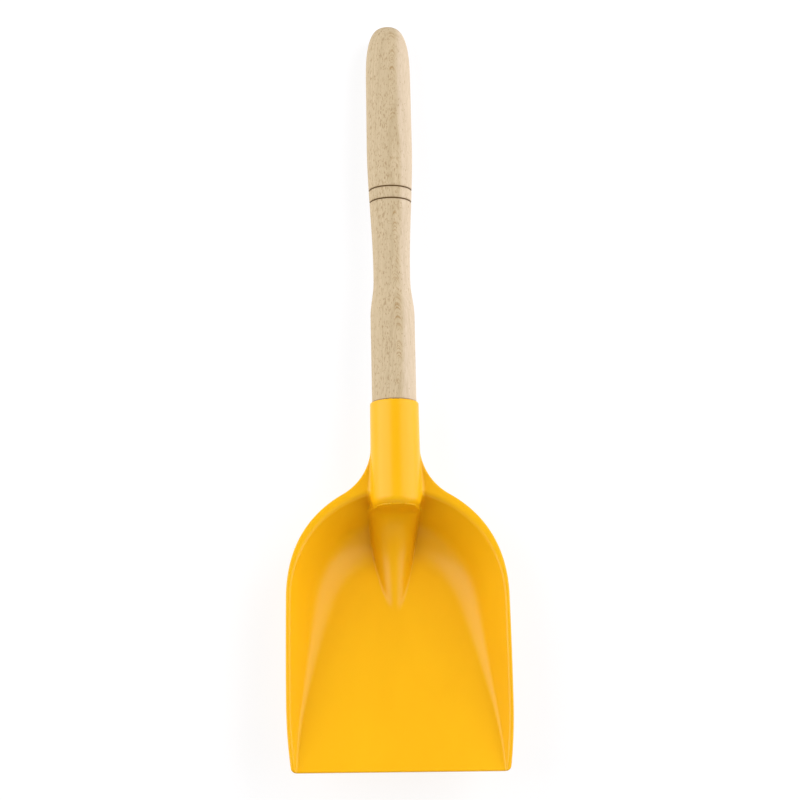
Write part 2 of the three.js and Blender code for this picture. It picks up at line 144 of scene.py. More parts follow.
def shovel_to_row():
    """The shovel's frame (millimetres) to the model's (metres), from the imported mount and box."""
    mount = frame["record"]["mounts"][0]
    at, axis = Vector(mount["pos_m"]), Vector(mount["axis"])
    tilt = math.atan2(-axis.y, -axis.z) - FLOOR_ANGLE
    turn = Matrix.Rotation(-tilt, 4, "X") @ Matrix.Scale(MM, 4)
    # The lowest y of the scoop is the lower corner of its front edge.
    front = turn @ Vector((0, 0, RIM_Z - FRONT_DROP - WALL / math.cos(FLOOR_ANGLE)))
    shift_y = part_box("scoop")[0].y - front.y
    # The mount lies in the floor's underside, which passes through that corner.
    under = turn.to_3x3() @ Vector((0, -math.sin(FLOOR_ANGLE), -math.cos(FLOOR_ANGLE)))
    under.normalize()
    shift_z = (at.dot(under) - (front + Vector((0, shift_y, 0))).dot(under)) / under.z
    return Matrix.Translation((0, shift_y, shift_z)) @ turn


TO_ROW = shovel_to_row()
TO_SHOVEL = TO_ROW.inverted()


def row_point(x, y, z):
    return TO_ROW @ Vector((x, y, z))


def row_direction(x, y, z):
    return (TO_ROW.to_3x3() @ Vector((x, y, z))).normalized()


# ---- Camera --------------------------------------------------------------------------------------

CAMERA_TARGET_Y = 249.8  # on the handle's axis
CAMERA_DISTANCE = 2200
CAMERA_LENS = 147.5
CAMERA_SENSOR = 36
CAMERA_CLIP = (0.05, 30)
CAMERA_ROLL = math.radians(1.14)
CAMERA_SIDE_LEAN = math.radians(4)
CAMERA_BACK_LEAN = math.radians(13)
CAMERA_SIDESTEP = 3.9


def make_camera():
    data = bpy.data.cameras.new("camera")
    data.lens = CAMERA_LENS
    data.sensor_width = CAMERA_SENSOR
    data.clip_start, data.clip_end = CAMERA_CLIP
    camera = bpy.data.objects.new("camera", data)
    bpy.context.scene.collection.objects.link(camera)
    back = row_direction(
        -math.sin(CAMERA_SIDE_LEAN), -math.sin(CAMERA_BACK_LEAN), math.cos(CAMERA_BACK_LEAN),
    )
    along = row_direction(0, 1, 0)
    right = along.cross(back).normalized()
    up = back.cross(right)
    turned_up = up * math.cos(CAMERA_ROLL) + right * math.sin(CAMERA_ROLL)
    turned_right = turned_up.cross(back)
    place = row_point(0, CAMERA_TARGET_Y, 0) + back * CAMERA_DISTANCE * MM
    place += turned_right * CAMERA_SIDESTEP * MM
    axes = Matrix((turned_right, turned_up, back)).transposed().to_4x4()
    camera.matrix_world = Matrix.Translation(place) @ axes
    bpy.context.scene.camera = camera


make_camera()

# ---- Small maths ---------------------------------------------------------------------------------


def mix(a, b, share):
    return a + (b - a) * share


def ease(value):
    held = np.clip(value, 0, 1)
    return held * held * (3 - 2 * held)


def joined(a, b, blend):
    """The nearer of two distances, with a soft fillet where they meet."""
    near = np.maximum(blend - np.abs(a - b), 0) / blend
    return np.minimum(a, b) - near * near * blend / 4


def cut_to(a, b, radius):
    """The farther of two distances, with the outer corner between them rounded."""
    out_a, out_b = np.maximum(a + radius, 0), np.maximum(b + radius, 0)
    return np.minimum(np.maximum(a, b) + radius, 0) + np.hypot(out_a, out_b) - radius


def bezier(points, steps):
    """A quadratic or cubic curve through its control points."""
    t = np.linspace(0, 1, steps)[:, None]
    rows = [np.array(p, float)[None, :] for p in points]
    while len(rows) > 1:
        rows = [mix(a, b, t) for a, b in zip(rows, rows[1:])]
    return rows[0]


# ---- The scoop as a distance field ---------------------------------------------------------------
# Negative inside the plastic, in millimetres, in the shovel's frame.

OUTLINE_STEPS = (80, 240, 120)  # along each stretch of the side, the round back and the neck
BACK_REACH = 0.56  # how far the back's curve keeps its starting direction, and then its end's
NECK_REACH = 0.55

LEAST_ROUND = RIM_ROUND / 3
ROUND_OF_LAND = 0.8  # the most of the land, and of the wall, that the rim's round may take
ROUND_OF_WALL = 0.2
FILLET_OF_WALL = 0.75
SLOPE_STEP = 0.25
GRADIENT_STEP = 0.05

RISE_STRETCH = 1.02  # the tongue's ridge meets the socket just before it would turn upright
RISE_LIMIT = 0.995

TONGUE_BLEND = 1.2
SOCKET_BLEND = 3.5
SOCKET_BLEND_NECK = 0.4
SOCKET_BLEND_RUN = 22
PAD_BLEND = 1.5
HOLE_ROUND = 0.1
HOLE_EDGE_ROUND = 0.2


def floor_z(y):
    return RIM_Z - FRONT_DROP - y * math.tan(FLOOR_ANGLE)


def outline_tables():
    """Half width by y up to the shoulder, then radius by angle about the round back's middle."""
    widest = BLADE_WIDTH / 2
    neck_x = SOCKET_MOUTH_R + NECK_RADIUS * (1 - math.cos(NECK_SWEEP))
    neck_y = MOUTH_BACK_Y - NECK_RUN
    neck_top = neck_y + NECK_RADIUS * math.sin(NECK_SWEEP)
    reach = (neck_y - SHOULDER_Y) * BACK_REACH
    neck_reach = reach * NECK_REACH
    side_steps, back_steps, neck_steps = OUTLINE_STEPS
    side = np.vstack([
        bezier([(FRONT_HALF, 0), (widest, WIDEST_Y / 2), (widest, WIDEST_Y)], side_steps),
        bezier([(widest, WIDEST_Y), (widest, (WIDEST_Y + SHOULDER_Y) / 2),
                (SHOULDER_HALF, SHOULDER_Y)], side_steps)[1:],
    ])
    back = bezier([
        (SHOULDER_HALF, SHOULDER_Y),
        (SHOULDER_HALF, SHOULDER_Y + reach),
        (neck_x + neck_reach * math.sin(NECK_SWEEP), neck_y - neck_reach * math.cos(NECK_SWEEP)),
        (neck_x, neck_y),
    ], back_steps)
    turn = np.linspace(NECK_SWEEP, 0, neck_steps)[1:]
    neck = np.column_stack([
        SOCKET_MOUTH_R + NECK_RADIUS * (1 - np.cos(turn)),
        neck_top - NECK_RADIUS * np.sin(turn),
    ])
    fan = np.vstack([back, neck, [(0, neck_top)]])
    radius = np.hypot(fan[:, 0], fan[:, 1] - SHOULDER_Y)
    angle = np.arctan2(fan[:, 1] - SHOULDER_Y, fan[:, 0])
    return side, angle, radius


SIDE, FAN_ANGLE, FAN_RADIUS = outline_tables()
SIDE_SLOPE = np.gradient(SIDE[:, 0], SIDE[:, 1])
FAN_SLOPE = np.gradient(FAN_RADIUS, FAN_ANGLE) / FAN_RADIUS


def fan_place(x, y):
    return np.hypot(x, y - SHOULDER_Y), np.arctan2(y - SHOULDER_Y, np.maximum(x, 1e-6))


def outline_distance(x, y):
    slope = np.interp(y, SIDE[:, 1], SIDE_SLOPE)
    beside = (x - np.interp(y, SIDE[:, 1], SIDE[:, 0])) / np.hypot(1, slope)
    beside = cut_to(beside, -y, CORNER_RADIUS)
    radius, angle = fan_place(x, y)
    slope = np.interp(angle, FAN_ANGLE, FAN_SLOPE)
    beyond = (radius - np.interp(angle, FAN_ANGLE, FAN_RADIUS)) / np.hypot(1, slope)
    return np.where(y <= SHOULDER_Y, beside, beyond)


def sheet_z(x, y, depth):
    """Height of the hollow's surface (depth 0) or of the outer surface a wall thickness behind."""
    radius, angle = fan_place(x, y)
    fan = y > SHOULDER_Y
    across, along = np.cos(angle), np.sin(angle)
    mouth = 1 / np.hypot(across / MOUTH_HALF, along / MOUTH_DEPTH)
    sideways = across ** 2
    half = np.interp(y, SIDE[:, 1], SIDE[:, 0])
    forward = np.clip(y / SHOULDER_Y, 0, 1)
    edge = np.where(fan, np.interp(angle, FAN_ANGLE, FAN_RADIUS) - mouth, RIM_WIDTH)
    at = np.where(fan, mouth - radius, half - RIM_WIDTH - x)
    flare = np.where(fan, mix(FLARE_BACK, FLARE_SIDE, sideways), FLARE_SIDE)
    fillet = np.where(fan, mix(BACK_FILLET, SHOULDER_FILLET, sideways),
                      mix(FRONT_FILLET, SHOULDER_FILLET, forward ** 2))
    rounding = np.where(fan, mix(WEB_ROUND, RIM_ROUND, sideways), RIM_ROUND)
    floor_at_edge = np.where(fan, floor_z(SHOULDER_Y + mouth * along), floor_z(y))
    floor_rise = np.where(fan, along * math.tan(FLOOR_ANGLE), 0)

    lean = np.radians(90 - flare)
    slope = np.tan(lean)
    rim_z = RIM_Z - depth
    wall_z = RIM_Z - depth / np.cos(lean)
    floor_at_edge = floor_at_edge - depth / math.cos(FLOOR_ANGLE)
    rise = np.arctan(floor_rise)
    top = (wall_z - rim_z) / slope
    foot = (wall_z - floor_at_edge) / (slope + floor_rise)
    wall_length = (foot - top) / np.cos(lean)
    round_tangent = np.minimum(
        np.maximum(rounding - depth, LEAST_ROUND) * np.tan(lean / 2),
        np.minimum(ROUND_OF_LAND * (edge + top - EDGE_ROUND), ROUND_OF_WALL * wall_length),
    )
    round_r = round_tangent / np.tan(lean / 2)
    half_turn = np.tan((lean + rise) / 2)
    fillet_tangent = np.minimum((fillet + depth) * half_turn, FILLET_OF_WALL * wall_length)
    fillet_r = fillet_tangent / half_turn

    round_from = top - round_tangent
    round_to = round_from + round_r * np.sin(lean)
    start_at = foot - fillet_tangent * np.cos(lean)
    start_z = wall_z - slope * start_at
    end_at = start_at + fillet_r * (np.sin(lean) + np.sin(rise))
    round_sin = np.clip((at - round_from) / round_r, 0, 1)
    fillet_sin = np.clip(np.sin(lean) - (at - start_at) / fillet_r, -1, 1)
    z = np.where(at < round_from, rim_z, rim_z - round_r * (1 - np.sqrt(1 - round_sin ** 2)))
    z = np.where(at > round_to, wall_z - slope * at, z)
    curve = start_z - fillet_r * (np.sqrt(1 - fillet_sin ** 2) - np.cos(lean))
    z = np.where(at > start_at, curve, z)
    return np.where(at > end_at, floor_at_edge + at * floor_rise, z)


def above_sheet(x, y, z, depth):
    """Distance above the sheet, allowing for its slope."""
    step = SLOPE_STEP
    slope_x = (sheet_z(x + step, y, depth) - sheet_z(x - step, y, depth)) / (2 * step)
    slope_y = (sheet_z(x, y + step, depth) - sheet_z(x, y - step, depth)) / (2 * step)
    return (z - sheet_z(x, y, depth)) / np.sqrt(1 + slope_x ** 2 + slope_y ** 2)


def tongue_section(x, y, z, depth):
    """Distance from the tongue within its cross-section: a round crown on two drafted sides."""
    into = np.maximum(0, y - (SOCKET_END_Y - TONGUE_RISE_RUN)) / (TONGUE_RISE_RUN * RISE_STRETCH)
    risen = 1 - np.sqrt(1 - np.minimum(into, RISE_LIMIT) ** 2)
    ridge = floor_z(TONGUE_TIP_Y) + TONGUE_RISE * risen
    grown = np.clip((y - TONGUE_TIP_Y) / TONGUE_CONE, 0, 1)
    crown = mix(TONGUE_TIP_R, SOCKET_END_R, grown)
    up = z - (ridge - crown)
    on_crown = up * math.cos(TONGUE_DRAFT) > x * math.sin(TONGUE_DRAFT)
    beside = x * math.cos(TONGUE_DRAFT) + up * math.sin(TONGUE_DRAFT)
    return np.where(on_crown, np.hypot(x, up), beside) - (crown - depth)


def tongue_distance(x, y, z, depth):
    """The same, allowing for the slope of the ridge."""
    step = SLOPE_STEP
    here = tongue_section(x, y, z, depth)
    slope = tongue_section(x, y + step, z, depth) - tongue_section(x, y - step, z, depth)
    return here / np.hypot(1, slope / (2 * step))


def bar(x, y, z, radius, low, high, rounding):
    """An upright round bar at the screw's place."""
    away = np.hypot(x, y - SCREW_Y) - radius
    return cut_to(away, np.maximum(low - z, z - high), rounding)


def scoop_distance(points):
    x, y, z = np.abs(points[:, 0]), points[:, 1], points[:, 2]
    tongue = tongue_distance(x, y, z, 0)
    tongue = np.maximum(tongue, y - (SOCKET_END_Y + SOCKET_END_ROUND))
    upper = joined(above_sheet(x, y, z, 0), tongue, TONGUE_BLEND)
    lower = -above_sheet(x, y, z, WALL)
    blade = cut_to(np.maximum(upper, lower), outline_distance(x, y), EDGE_ROUND)

    inside = tongue_distance(x, y, z, WALL)
    hollow = np.maximum(inside, np.maximum(TONGUE_TIP_Y - y, y - (SOCKET_END_Y - WALL / 4)))
    blade = cut_to(blade, -hollow, EDGE_ROUND)

    away = np.hypot(x, z)
    along = (y - SOCKET_END_Y) / SOCKET_LENGTH
    barrel = away - mix(SOCKET_END_R, SOCKET_MOUTH_R, np.clip(along, 0, 1))
    barrel = cut_to(barrel, SOCKET_END_Y - y, SOCKET_END_ROUND)
    barrel = cut_to(barrel, y - SOCKET_MOUTH_Y, SOCKET_LIP_ROUND)
    pad = bar(x, y, z, SCREW_PAD_R, SCREW_PAD_Z, -BORE_END_R, EDGE_ROUND / 2)
    # The fillet beside the socket runs out where the neck's sweep becomes the socket's side.
    blend = np.interp(y, [MOUTH_BACK_Y, MOUTH_BACK_Y + SOCKET_BLEND_RUN],
                      [SOCKET_BLEND, SOCKET_BLEND_NECK])
    whole = joined(joined(blade, barrel, blend), pad, PAD_BLEND)

    bore_share = (y - BORE_END_Y) / (SOCKET_MOUTH_Y - BORE_END_Y)
    bore = np.maximum(away - mix(BORE_END_R, BORE_MOUTH_R, bore_share), BORE_END_Y - y)
    screw_hole = bar(x, y, z, SCREW_R + FIT, SCREW_PAD_Z - WALL, 0, HOLE_ROUND)
    return cut_to(np.maximum(whole, -bore), -screw_hole, HOLE_EDGE_ROUND)


def gradient(points):
    slopes = []
    for axis in range(3):
        offset = np.zeros(3)
        offset[axis] = GRADIENT_STEP
        slopes.append(scoop_distance(points + offset) - scoop_distance(points - offset))
    return np.column_stack(slopes) / (2 * GRADIENT_STEP)


# ---- Mesh helpers --------------------------------------------------------------------------------


def vertices_of(mesh):
    flat = np.empty(len(mesh.vertices) * 3)
    mesh.vertices.foreach_get("co", flat)
    return flat.reshape(-1, 3)


def set_vertices(mesh, points):
    mesh.vertices.foreach_set("co", np.asarray(points, float).ravel())
    mesh.update()


def mapped(points, matrix):
    m = np.array(matrix)
    return points @ m[:3, :3].T + m[:3, 3]


def show(obj, node, material):
    """Lets a finished piece stand for its CAD node."""
    obj.data.materials.clear()
    obj.data.materials.append(material)
    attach(obj, "root")
    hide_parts(node)
    return obj


# ---- Scoop ---------------------------------------------------------------------------------------

VOXEL = 1.05
BORE_SHIFT = 1.2
BORE_END_MARGIN = 0.1
BORE_SIDE_MARGIN = 0.2
PULLS = 8  # pulls on to the field
EASED_PULLS = range(1, 6)  # the pulls that the mesh is evened out before
EASE_SHARE = 0.4
LONGEST_PULL = 0.8
LEAST_SLOPE = 0.2
TINY = 1e-9


def make_scoop(material):
    """The CAD scoop, remeshed finely and drawn on to the distance field, which has the fillets."""
    mesh = frame["nodes"]["scoop"].data.copy()
    mesh.name = "scoop_moulding"
    points = mapped(vertices_of(mesh), TO_SHOVEL)
    # The socket's thin lip is thickened inwards for the remesh; the field sets it right again.
    away = np.hypot(points[:, 0], points[:, 2])
    in_bore = away < BORE_MOUTH_R + BORE_SIDE_MARGIN
    in_bore &= points[:, 1] > BORE_END_Y - BORE_END_MARGIN
    inward = 1 - BORE_SHIFT / np.maximum(away[in_bore], BORE_SHIFT)
    points[in_bore, 0] *= inward
    points[in_bore, 2] *= inward
    set_vertices(mesh, points)
    obj = bpy.data.objects.new("scoop_moulding", mesh)
    bpy.context.scene.collection.objects.link(obj)
    remesh = obj.modifiers.new("remesh", "REMESH")
    remesh.mode = "VOXEL"
    remesh.voxel_size = VOXEL
    evaluated = obj.evaluated_get(bpy.context.evaluated_depsgraph_get())
    fine = bpy.data.meshes.new_from_object(evaluated)
    obj.modifiers.clear()
    obj.data = fine
    fine.name = "scoop_moulding"

    points = vertices_of(fine)
    edges = np.empty(len(fine.edges) * 2, int)
    fine.edges.foreach_get("vertices", edges)
    edges = edges.reshape(-1, 2)
    count = np.bincount(edges.ravel(), minlength=len(points))[:, None]
    for pull in range(PULLS):
        if pull in EASED_PULLS:
            total = np.zeros_like(points)
            np.add.at(total, edges[:, 0], points[edges[:, 1]])
            np.add.at(total, edges[:, 1], points[edges[:, 0]])
            points = mix(points, total / count, EASE_SHARE)
        slope = gradient(points)
        size = np.maximum((slope ** 2).sum(1), LEAST_SLOPE)
        move = -(scoop_distance(points) / size)[:, None] * slope
        length = np.linalg.norm(move, axis=1)[:, None]
        points = points + move * np.minimum(1, LONGEST_PULL / np.maximum(length, TINY))
    normals = gradient(points)
    normals /= np.maximum(np.linalg.norm(normals, axis=1), TINY)[:, None]
    low, high = (np.array(corner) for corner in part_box("scoop"))
    set_vertices(fine, np.clip(mapped(points, TO_ROW), low, high))
    fine.polygons.foreach_set("use_smooth", [True] * len(fine.polygons))
    turn = np.array(TO_ROW.to_3x3().normalized())
    fine.normals_split_custom_set_from_vertices((normals @ turn.T).tolist())
    return show(obj, "scoop", material)


# ---- Handle --------------------------------------------------------------------------------------

HANDLE_SEGMENTS = 144
HANDLE_INSET = 0.07  # this and the share keep the finer turning inside the faceted one's box
HANDLE_SHARE = 0.9994
SHANK_RINGS = 12
SHANK_RINGS_FROM = 6
RING_STEP = 2.5
GROOVE_RINGS = 17
GROOVE_SPREAD = 0.62  # half the groove at the surface, as a share of its width
DOME_RINGS = 40
DROP_END = PLAIN_LENGTH + WAIST_DROP
SWELL_START = DROP_END + WAIST_LENGTH
SWELL_END = SWELL_START + GRIP_SWELL
VISIBLE = HANDLE_END_Y - SOCKET_MOUTH_Y
DOME_START = VISIBLE - DOME_LENGTH
GROOVES = [VISIBLE - from_end for from_end in GROOVE_FROM_END]


def handle_r(at):
    """Radius by distance from the socket's mouth, without the grooves."""
    if at <= DROP_END:
        return mix(HANDLE_R, WAIST_R, float(ease((at - PLAIN_LENGTH) / WAIST_DROP)))
    if at <= SWELL_END:
        return mix(WAIST_R, GRIP_R, float(ease((at - SWELL_START) / GRIP_SWELL)))
    if at <= DOME_START:
        return mix(GRIP_R, GRIP_END_R, (at - SWELL_END) / (DOME_START - SWELL_END))
    along = min((at - DOME_START) / DOME_LENGTH, 1)
    return GRIP_END_R * (1 - along ** DOME_POWER) ** (1 / DOME_POWER)


def groove_depth(at):
    """A turned groove has a round bottom and slightly eased lips."""
    depth = 0.0
    for groove in GROOVES:
        off = abs(at - groove) / (GROOVE_WIDTH * GROOVE_SPREAD)
        if off < 1:
            depth = GROOVE_DEPTH * (1 + math.cos(math.pi * off)) / 2
    return depth


def shank_r(y):
    share = (y - BORE_END_Y) / (SOCKET_MOUTH_Y - BORE_END_Y)
    return mix(BORE_END_R, BORE_MOUTH_R, share) - FIT


def handle_profile():
    """Radius and y of each ring, from the shank's end to just short of the dome's tip."""
    chamfer_y = HANDLE_START_Y + SHANK_CHAMFER
    profile = [
        (shank_r(HANDLE_START_Y) - SHANK_CHAMFER, HANDLE_START_Y),
        (shank_r(chamfer_y), chamfer_y),
    ]
    shank = np.linspace(HANDLE_START_Y + SHANK_RINGS_FROM, SOCKET_MOUTH_Y, SHANK_RINGS)
    profile += [(shank_r(y), y) for y in shank]
    shown = [
        at for at in np.arange(RING_STEP, DOME_START, RING_STEP)
        if min(abs(at - groove) for groove in GROOVES) > GROOVE_WIDTH
    ]
    for groove in GROOVES:
        shown += list(groove + np.linspace(-GROOVE_WIDTH, GROOVE_WIDTH, GROOVE_RINGS))
    for step in range(DOME_RINGS):
        shown.append(DOME_START + DOME_LENGTH * math.sin(math.pi / 2 * step / DOME_RINGS))
    profile += [
        (handle_r(at) - groove_depth(at) - HANDLE_INSET, SOCKET_MOUTH_Y + at * HANDLE_SHARE)
        for at in sorted(shown)
    ]
    return profile


def ring(row, k):
    """Index of a point on a ring of the handle; point 0 is the middle of the shank's end."""
    return 1 + row * HANDLE_SEGMENTS + k % HANDLE_SEGMENTS


def make_handle(material):
    profile = handle_profile()
    points = [(0, HANDLE_START_Y, 0)]
    faces = []
    for radius, y in profile:
        for k in range(HANDLE_SEGMENTS):
            angle = 2 * math.pi * k / HANDLE_SEGMENTS
            points.append((radius * math.cos(angle), y, radius * math.sin(angle)))
    points.append((0, SOCKET_MOUTH_Y + VISIBLE * HANDLE_SHARE, 0))
    last = len(points) - 1
    for k in range(HANDLE_SEGMENTS):
        faces.append((0, ring(0, k), ring(0, k + 1)))
        faces.append((last, ring(len(profile) - 1, k + 1), ring(len(profile) - 1, k)))
        for row in range(len(profile) - 1):
            faces.append((ring(row, k), ring(row + 1, k), ring(row + 1, k + 1), ring(row, k + 1)))
    mesh = bpy.data.meshes.new("handle_turning")
    mesh.from_pydata([tuple(TO_ROW @ Vector(p)) for p in points], [], faces)
    mesh.polygons.foreach_set("use_smooth", [True] * len(mesh.polygons))
    mesh.update()
    obj = bpy.data.objects.new("handle_turning", mesh)
    bpy.context.scene.collection.objects.link(obj)
    return show(obj, "handle", material)


# ---- Materials -----------------------------------------------------------------------------------


class Nodes:
    """A material's node tree, with short calls for what the materials below repeat."""

    def __init__(self, material):
        material.use_nodes = True
        self.tree = material.node_tree
        self.tree.nodes.clear()
        self.shader = self.add("ShaderNodeBsdfPrincipled")
        output = self.add("ShaderNodeOutputMaterial")
        self.link(self.shader.outputs["BSDF"], output.inputs["Surface"])
        # Shovel-frame coordinates in millimetres.
        place = self.add("ShaderNodeTexCoord")
        mapping = self.add("ShaderNodeMapping")
        turn = TO_SHOVEL.to_3x3().normalized().to_euler()
        mapping.inputs["Location"].default_value = TO_SHOVEL.translation
        mapping.inputs["Rotation"].default_value = turn
        mapping.inputs["Scale"].default_value = (1 / MM,) * 3
        self.link(place.outputs["Object"], mapping.inputs["Vector"])
        self.mm = mapping.outputs["Vector"]

    def add(self, kind, **settings):
        node = self.tree.nodes.new(kind)
        for name, value in settings.items():
            setattr(node, name, value)
        return node

    def link(self, a, b):
        self.tree.links.new(a, b)

    def feed(self, socket, value):
        if isinstance(value, bpy.types.NodeSocket):
            self.link(value, socket)
        else:
            socket.default_value = value

    def math(self, operation, a, b=0.0, clamp=False):
        node = self.add("ShaderNodeMath", operation=operation, use_clamp=clamp)
        self.feed(node.inputs[0], a)
        self.feed(node.inputs[1], b)
        return node.outputs[0]

    def stretched(self, scale, shift=(0, 0, 0)):
        """The position, stretched and shifted, so that a noise runs along the object or differs."""
        node = self.add("ShaderNodeMapping")
        self.link(self.mm, node.inputs["Vector"])
        node.inputs["Scale"].default_value = scale
        node.inputs["Location"].default_value = shift
        return node.outputs["Vector"]

    def noise(self, vector, scale, detail=2, roughness=0.5, distortion=0.0):
        node = self.add("ShaderNodeTexNoise")
        self.feed(node.inputs["Vector"], vector)
        node.inputs["Scale"].default_value = scale
        node.inputs["Detail"].default_value = detail
        node.inputs["Roughness"].default_value = roughness
        node.inputs["Distortion"].default_value = distortion
        return node.outputs["Fac"]

    def noise_along(self, distance, scale, detail=2, roughness=0.5):
        """Noise that changes along one distance only."""
        node = self.add("ShaderNodeTexNoise", noise_dimensions="1D")
        self.link(distance, node.inputs["W"])
        node.inputs["Scale"].default_value = scale
        node.inputs["Detail"].default_value = detail
        node.inputs["Roughness"].default_value = roughness
        return node.outputs["Fac"]

    def ramp(self, value, stops):
        node = self.add("ShaderNodeValToRGB")
        self.feed(node.inputs["Fac"], value)
        ramp = node.color_ramp
        while len(ramp.elements) < len(stops):
            ramp.elements.new(0.5)
        for element, (at, colour) in zip(ramp.elements, stops):
            element.position = at
            grey = isinstance(colour, (int, float))
            element.color = (colour,) * 3 + (1,) if grey else tuple(colour) + (1,)
        return node.outputs["Color"]

    def blend(self, share, a, b):
        node = self.add("ShaderNodeMix", data_type="RGBA")
        self.feed(node.inputs["Factor"], share)
        colours = [s for s in node.inputs if s.type == "RGBA"]
        for socket, value in zip(colours, (a, b)):
            if isinstance(value, bpy.types.NodeSocket):
                self.link(value, socket)
            else:
                socket.default_value = tuple(value) + (1,)
        return [s for s in node.outputs if s.type == "RGBA"][0]

    def axes(self):
        node = self.add("ShaderNodeSeparateXYZ")
        self.link(self.mm, node.inputs[0])
        return node.outputs

    def bump(self, height, distance, strength):
        node = self.add("ShaderNodeBump")
        node.inputs["Strength"].default_value = strength
        node.inputs["Distance"].default_value = distance
        self.link(height, node.inputs["Height"])
        return node.outputs["Normal"]


def linear(r, g, b):
    """A colour given as 0-255 display values, as the shader wants it."""
    return tuple(
        ((value / 255 + 0.055) / 1.055) ** 2.4 if value > 10 else value / 255 / 12.92
        for value in (r, g, b)
    )


# Darkest and lightest of a tone that varies, or one colour.
YELLOW = (linear(229, 169, 9), linear(232, 173, 12))
YELLOW_SCUFFED = linear(236, 188, 60)
BEECH_GREY = (linear(184, 165, 134), linear(197, 178, 148))
BEECH_PINK = (linear(200, 181, 157), linear(208, 190, 167))
FIBRE = linear(160, 138, 104)
PORE = linear(150, 126, 92)
FLECK = linear(146, 119, 82)
FIGURE = linear(150, 118, 70)
SCORCHED = linear(150, 120, 78)
CHARRED = linear(84, 60, 28)
# Painted shade: the dark line that stands for the shadow in the gap at the socket's mouth.
PAINTED_GAP_SHADE = linear(96, 66, 28)
ZINC = (linear(178, 180, 184), linear(205, 206, 204))

SCUFFED_Y = 45  # where the scuffs behind the front edge end
PITH = (-18, -62)  # where the growth rings' middle is, in x and z
RINGS_LEAN = 0.035
FIGURE_X = 5.0  # where the arched figure runs along the handle, its wandering included
ARCH_BEND = 0.55
COLUMN_WIDTH = 4


def plastic_material():
    """Moulded polypropylene: even yellow, faint flow marks, satin texture, light wear in front."""
    material = bpy.data.materials.new("scoop_plastic")
    n = Nodes(material)
    y = n.axes()[1]
    flow = n.noise(n.stretched((1, 0.35, 1)), 0.03, detail=3, roughness=0.55, distortion=0.6)
    base = n.blend(n.ramp(flow, [(0.3, 0), (0.7, 1)]), *YELLOW)
    # Scuffs run back from the front edge, where the scoop is pushed along.
    scuff = n.noise(n.stretched((1.6, 0.12, 1)), 1.0, detail=4, roughness=0.65)
    scuff = n.ramp(scuff, [(0.60, 0), (0.72, 1)])
    front = n.math("SUBTRACT", 1, n.math("DIVIDE", y, SCUFFED_Y), clamp=True)
    scuff = n.math("MULTIPLY", scuff, n.math("MULTIPLY", front, front))
    base = n.blend(n.math("MULTIPLY", scuff, 0.22), base, YELLOW_SCUFFED)
    n.link(base, n.shader.inputs["Base Color"])
    grain = n.noise(n.mm, 2.2, detail=3, roughness=0.6)
    rough = n.math("MULTIPLY_ADD", grain, 0.10)
    rough.node.inputs[2].default_value = 0.27
    n.link(n.math("ADD", rough, n.math("MULTIPLY", scuff, 0.2)), n.shader.inputs["Roughness"])
    n.shader.inputs["IOR"].default_value = 1.49
    n.shader.inputs["Specular IOR Level"].default_value = 0.26
    n.shader.inputs["Subsurface Weight"].default_value = 0.08
    n.shader.inputs["Subsurface Radius"].default_value = (1.0, 0.45, 0.08)
    n.shader.inputs["Subsurface Scale"].default_value = 0.002
    wave = n.noise(n.mm, 0.05, detail=2)
    height = n.math("ADD", n.math("MULTIPLY", grain, 0.012), n.math("MULTIPLY", wave, 0.5))
    n.link(n.bump(height, MM, 0.35), n.shader.inputs["Normal"])
    return material


